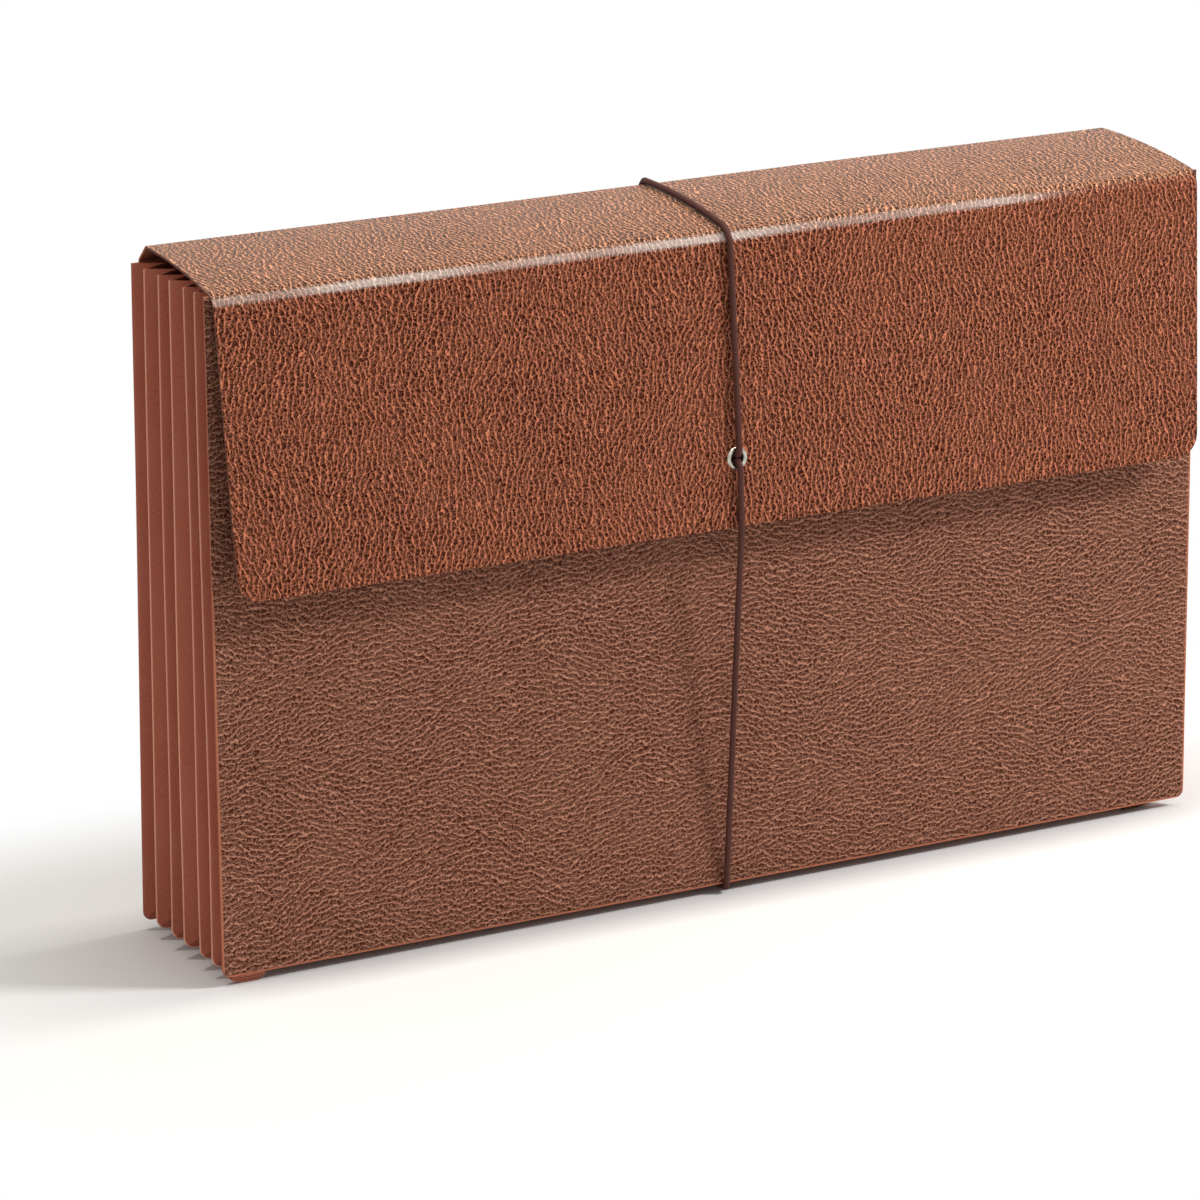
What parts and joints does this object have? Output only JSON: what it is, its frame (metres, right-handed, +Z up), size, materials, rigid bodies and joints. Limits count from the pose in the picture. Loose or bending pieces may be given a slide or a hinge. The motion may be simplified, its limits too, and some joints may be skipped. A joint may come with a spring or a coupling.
{
  "type": "file wallet",
  "caption": "Expanding file wallet: pleated paper gusset between two leather-grain boards, closed by a fold-over flap with an eyelet and an elastic cord.",
  "frame": {"origin": "on the table, under the middle of the wallet's box", "axes": "+X along the width, +Y from the flap side to the back, +Z up"},
  "size_m": [0.381, 0.0736, 0.2417],
  "materials": {
    "leather_board": "satin",
    "gusset_paper": "matte",
    "raw_paper": "matte",
    "nickel": "satin",
    "elastic": "matte"
  },
  "bodies": {
    "back": {"back_panel": "leather_board", "back_flange": "gusset_paper", "back_corner_tucks": "raw_paper"},
    "left_1": {"left_pleat_1": "gusset_paper"},
    "left_2": {"left_pleat_2": "gusset_paper"},
    "left_3": {"left_pleat_3": "gusset_paper"},
    "left_4": {"left_pleat_4": "gusset_paper"},
    "left_5": {"left_pleat_5": "gusset_paper"},
    "left_6": {"left_pleat_6": "gusset_paper"},
    "left_7": {"left_pleat_7": "gusset_paper"},
    "left_8": {"left_pleat_8": "gusset_paper"},
    "left_9": {"left_pleat_9": "gusset_paper"},
    "left_10": {"left_pleat_10": "gusset_paper"},
    "left_11": {"left_pleat_11": "gusset_paper"},
    "left_12": {"left_pleat_12": "gusset_paper"},
    "right_1": {"right_pleat_1": "gusset_paper"},
    "right_2": {"right_pleat_2": "gusset_paper"},
    "right_3": {"right_pleat_3": "gusset_paper"},
    "right_4": {"right_pleat_4": "gusset_paper"},
    "right_5": {"right_pleat_5": "gusset_paper"},
    "right_6": {"right_pleat_6": "gusset_paper"},
    "right_7": {"right_pleat_7": "gusset_paper"},
    "right_8": {"right_pleat_8": "gusset_paper"},
    "right_9": {"right_pleat_9": "gusset_paper"},
    "right_10": {"right_pleat_10": "gusset_paper"},
    "right_11": {"right_pleat_11": "gusset_paper"},
    "right_12": {"right_pleat_12": "gusset_paper"},
    "bottom_1": {"bottom_pleat_1": "gusset_paper"},
    "bottom_2": {"bottom_pleat_2": "gusset_paper"},
    "bottom_3": {"bottom_pleat_3": "gusset_paper"},
    "bottom_4": {"bottom_pleat_4": "gusset_paper"},
    "bottom_5": {"bottom_pleat_5": "gusset_paper"},
    "bottom_6": {"bottom_pleat_6": "gusset_paper"},
    "bottom_7": {"bottom_pleat_7": "gusset_paper"},
    "bottom_8": {"bottom_pleat_8": "gusset_paper"},
    "bottom_9": {"bottom_pleat_9": "gusset_paper"},
    "bottom_10": {"bottom_pleat_10": "gusset_paper"},
    "bottom_11": {"bottom_pleat_11": "gusset_paper"},
    "bottom_12": {"bottom_pleat_12": "gusset_paper"},
    "front": {"front_panel": "leather_board", "front_flange": "gusset_paper", "front_corner_tucks": "raw_paper"},
    "top": {"top_panel": "leather_board"},
    "flap": {"flap_panel": "leather_board", "eyelet": "nickel", "elastic_cord": "elastic", "cord_knot": "elastic"}
  },
  "joints": [
    {"name": "pleat_fold", "type": "hinge", "parent": "back", "child": "left_1", "pos_m": [-0.19, 0.03314, 0.1166], "axis": [0, 0, -1], "range_deg": [-21.83, 0]},
    {"name": "left_fold_2", "type": "hinge", "parent": "left_1", "child": "left_2", "pos_m": [-0.17994, 0.02842, 0.1166], "axis": [0, 0, -1], "range_deg": [-0.1, 43.76]},
    {"name": "left_fold_3", "type": "hinge", "parent": "left_2", "child": "left_3", "pos_m": [-0.19, 0.02371, 0.1166], "axis": [0, 0, -1], "range_deg": [-48.05, 0.1]},
    {"name": "left_fold_4", "type": "hinge", "parent": "left_3", "child": "left_4", "pos_m": [-0.18032, 0.01825, 0.1166], "axis": [0, 0, -1], "range_deg": [-0.1, 52.34]},
    {"name": "left_fold_5", "type": "hinge", "parent": "left_4", "child": "left_5", "pos_m": [-0.19, 0.0128, 0.1166], "axis": [0, 0, -1], "range_deg": [-45.44, 0.1]},
    {"name": "left_fold_6", "type": "hinge", "parent": "left_5", "child": "left_6", "pos_m": [-0.17973, 0.00854, 0.1166], "axis": [0, 0, -1], "range_deg": [-0.1, 38.55]},
    {"name": "left_fold_7", "type": "hinge", "parent": "left_6", "child": "left_7", "pos_m": [-0.19, 0.00429, 0.1166], "axis": [0, 0, -1], "range_deg": [-46.54, 0.1]},
    {"name": "left_fold_8", "type": "hinge", "parent": "left_7", "child": "left_8", "pos_m": [-0.18043, -0.00135, 0.1166], "axis": [0, 0, -1], "range_deg": [-0.1, 54.54]},
    {"name": "left_fold_9", "type": "hinge", "parent": "left_8", "child": "left_9", "pos_m": [-0.19, -0.00699, 0.1166], "axis": [0, 0, -1], "range_deg": [-45.52, 0.1]},
    {"name": "left_fold_10", "type": "hinge", "parent": "left_9", "child": "left_10", "pos_m": [-0.17966, -0.01106, 0.1166], "axis": [0, 0, -1], "range_deg": [-0.1, 36.49]},
    {"name": "left_fold_11", "type": "hinge", "parent": "left_10", "child": "left_11", "pos_m": [-0.19, -0.01513, 0.1166], "axis": [0, 0, -1], "range_deg": [-33.95, 0.1]},
    {"name": "left_fold_12", "type": "hinge", "parent": "left_11", "child": "left_12", "pos_m": [-0.17949, -0.01873, 0.1166], "axis": [0, 0, -1], "range_deg": [-0.1, 31.41]},
    {"name": "left_fold_13", "type": "hinge", "parent": "left_12", "child": "front", "pos_m": [-0.19, -0.02234, 0.1166], "axis": [0, 0, -1], "range_deg": [-15.76, 0.1]},
    {"name": "right_fold_1", "type": "hinge", "parent": "back", "child": "right_1", "pos_m": [0.19, 0.03314, 0.1166], "axis": [0, 0, 1], "range_deg": [-21.93, 0.1]},
    {"name": "right_fold_2", "type": "hinge", "parent": "right_1", "child": "right_2", "pos_m": [0.17994, 0.02842, 0.1166], "axis": [0, 0, 1], "range_deg": [-0.1, 43.76]},
    {"name": "right_fold_3", "type": "hinge", "parent": "right_2", "child": "right_3", "pos_m": [0.19, 0.02371, 0.1166], "axis": [0, 0, 1], "range_deg": [-48.05, 0.1]},
    {"name": "right_fold_4", "type": "hinge", "parent": "right_3", "child": "right_4", "pos_m": [0.18032, 0.01825, 0.1166], "axis": [0, 0, 1], "range_deg": [-0.1, 52.34]},
    {"name": "right_fold_5", "type": "hinge", "parent": "right_4", "child": "right_5", "pos_m": [0.19, 0.0128, 0.1166], "axis": [0, 0, 1], "range_deg": [-45.44, 0.1]},
    {"name": "right_fold_6", "type": "hinge", "parent": "right_5", "child": "right_6", "pos_m": [0.17973, 0.00854, 0.1166], "axis": [0, 0, 1], "range_deg": [-0.1, 38.55]},
    {"name": "right_fold_7", "type": "hinge", "parent": "right_6", "child": "right_7", "pos_m": [0.19, 0.00429, 0.1166], "axis": [0, 0, 1], "range_deg": [-46.54, 0.1]},
    {"name": "right_fold_8", "type": "hinge", "parent": "right_7", "child": "right_8", "pos_m": [0.18043, -0.00135, 0.1166], "axis": [0, 0, 1], "range_deg": [-0.1, 54.54]},
    {"name": "right_fold_9", "type": "hinge", "parent": "right_8", "child": "right_9", "pos_m": [0.19, -0.00699, 0.1166], "axis": [0, 0, 1], "range_deg": [-45.52, 0.1]},
    {"name": "right_fold_10", "type": "hinge", "parent": "right_9", "child": "right_10", "pos_m": [0.17966, -0.01106, 0.1166], "axis": [0, 0, 1], "range_deg": [-0.1, 36.49]},
    {"name": "right_fold_11", "type": "hinge", "parent": "right_10", "child": "right_11", "pos_m": [0.19, -0.01513, 0.1166], "axis": [0, 0, 1], "range_deg": [-33.95, 0.1]},
    {"name": "right_fold_12", "type": "hinge", "parent": "right_11", "child": "right_12", "pos_m": [0.17949, -0.01873, 0.1166], "axis": [0, 0, 1], "range_deg": [-0.1, 31.41]},
    {"name": "bottom_fold_1", "type": "hinge", "parent": "back", "child": "bottom_1", "pos_m": [0, 0.03314, 0.0037], "axis": [1, 0, 0], "range_deg": [-21.93, 0.1]},
    {"name": "bottom_fold_2", "type": "hinge", "parent": "bottom_1", "child": "bottom_2", "pos_m": [0, 0.02842, 0.01376], "axis": [1, 0, 0], "range_deg": [-0.1, 43.76]},
    {"name": "bottom_fold_3", "type": "hinge", "parent": "bottom_2", "child": "bottom_3", "pos_m": [0, 0.02371, 0.0037], "axis": [1, 0, 0], "range_deg": [-48.05, 0.1]},
    {"name": "bottom_fold_4", "type": "hinge", "parent": "bottom_3", "child": "bottom_4", "pos_m": [0, 0.01825, 0.01338], "axis": [1, 0, 0], "range_deg": [-0.1, 52.34]},
    {"name": "bottom_fold_5", "type": "hinge", "parent": "bottom_4", "child": "bottom_5", "pos_m": [0, 0.0128, 0.0037], "axis": [1, 0, 0], "range_deg": [-45.44, 0.1]},
    {"name": "bottom_fold_6", "type": "hinge", "parent": "bottom_5", "child": "bottom_6", "pos_m": [0, 0.00854, 0.01397], "axis": [1, 0, 0], "range_deg": [-0.1, 38.55]},
    {"name": "bottom_fold_7", "type": "hinge", "parent": "bottom_6", "child": "bottom_7", "pos_m": [0, 0.00429, 0.0037], "axis": [1, 0, 0], "range_deg": [-46.54, 0.1]},
    {"name": "bottom_fold_8", "type": "hinge", "parent": "bottom_7", "child": "bottom_8", "pos_m": [0, -0.00135, 0.01327], "axis": [1, 0, 0], "range_deg": [-0.1, 54.54]},
    {"name": "bottom_fold_9", "type": "hinge", "parent": "bottom_8", "child": "bottom_9", "pos_m": [0, -0.00699, 0.0037], "axis": [1, 0, 0], "range_deg": [-45.52, 0.1]},
    {"name": "bottom_fold_10", "type": "hinge", "parent": "bottom_9", "child": "bottom_10", "pos_m": [0, -0.01106, 0.01404], "axis": [1, 0, 0], "range_deg": [-0.1, 36.49]},
    {"name": "bottom_fold_11", "type": "hinge", "parent": "bottom_10", "child": "bottom_11", "pos_m": [0, -0.01513, 0.0037], "axis": [1, 0, 0], "range_deg": [-33.95, 0.1]},
    {"name": "bottom_fold_12", "type": "hinge", "parent": "bottom_11", "child": "bottom_12", "pos_m": [0, -0.01873, 0.01421], "axis": [1, 0, 0], "range_deg": [-0.1, 31.41]},
    {"name": "back_crease", "type": "hinge", "parent": "back", "child": "top", "pos_m": [0, 0.0299, 0.2392], "axis": [-1, 0, 0], "range_deg": [0, 210], "deforming": ["elastic_cord"]},
    {"name": "front_crease", "type": "hinge", "parent": "top", "child": "flap", "pos_m": [0, -0.02535, 0.23378], "axis": [-1, 0, 0], "range_deg": [-0.1, 75.1]}
  ],
  "couplings": [
    {"joint": "left_fold_2", "follows": "pleat_fold", "ratio": -2},
    {"joint": "left_fold_3", "follows": "pleat_fold", "ratio": 2.1966},
    {"joint": "left_fold_4", "follows": "pleat_fold", "ratio": -2.3932},
    {"joint": "left_fold_5", "follows": "pleat_fold", "ratio": 2.0772},
    {"joint": "left_fold_6", "follows": "pleat_fold", "ratio": -1.7612},
    {"joint": "left_fold_7", "follows": "pleat_fold", "ratio": 2.1276},
    {"joint": "left_fold_8", "follows": "pleat_fold", "ratio": -2.494},
    {"joint": "left_fold_9", "follows": "pleat_fold", "ratio": 2.0805},
    {"joint": "left_fold_10", "follows": "pleat_fold", "ratio": -1.667},
    {"joint": "left_fold_11", "follows": "pleat_fold", "ratio": 1.5507},
    {"joint": "left_fold_12", "follows": "pleat_fold", "ratio": -1.4343},
    {"joint": "left_fold_13", "follows": "pleat_fold", "ratio": 0.71714},
    {"joint": "right_fold_1", "follows": "pleat_fold", "ratio": 1},
    {"joint": "right_fold_2", "follows": "pleat_fold", "ratio": -2},
    {"joint": "right_fold_3", "follows": "pleat_fold", "ratio": 2.1966},
    {"joint": "right_fold_4", "follows": "pleat_fold", "ratio": -2.3932},
    {"joint": "right_fold_5", "follows": "pleat_fold", "ratio": 2.0772},
    {"joint": "right_fold_6", "follows": "pleat_fold", "ratio": -1.7612},
    {"joint": "right_fold_7", "follows": "pleat_fold", "ratio": 2.1276},
    {"joint": "right_fold_8", "follows": "pleat_fold", "ratio": -2.494},
    {"joint": "right_fold_9", "follows": "pleat_fold", "ratio": 2.0805},
    {"joint": "right_fold_10", "follows": "pleat_fold", "ratio": -1.667},
    {"joint": "right_fold_11", "follows": "pleat_fold", "ratio": 1.5507},
    {"joint": "right_fold_12", "follows": "pleat_fold", "ratio": -1.4343},
    {"joint": "bottom_fold_1", "follows": "pleat_fold", "ratio": 1},
    {"joint": "bottom_fold_2", "follows": "pleat_fold", "ratio": -2},
    {"joint": "bottom_fold_3", "follows": "pleat_fold", "ratio": 2.1966},
    {"joint": "bottom_fold_4", "follows": "pleat_fold", "ratio": -2.3932},
    {"joint": "bottom_fold_5", "follows": "pleat_fold", "ratio": 2.0772},
    {"joint": "bottom_fold_6", "follows": "pleat_fold", "ratio": -1.7612},
    {"joint": "bottom_fold_7", "follows": "pleat_fold", "ratio": 2.1276},
    {"joint": "bottom_fold_8", "follows": "pleat_fold", "ratio": -2.494},
    {"joint": "bottom_fold_9", "follows": "pleat_fold", "ratio": 2.0805},
    {"joint": "bottom_fold_10", "follows": "pleat_fold", "ratio": -1.667},
    {"joint": "bottom_fold_11", "follows": "pleat_fold", "ratio": 1.5507},
    {"joint": "bottom_fold_12", "follows": "pleat_fold", "ratio": -1.4343},
    {"joint": "front_crease", "follows": "back_crease", "ratio": 0.35714}
  ]
}
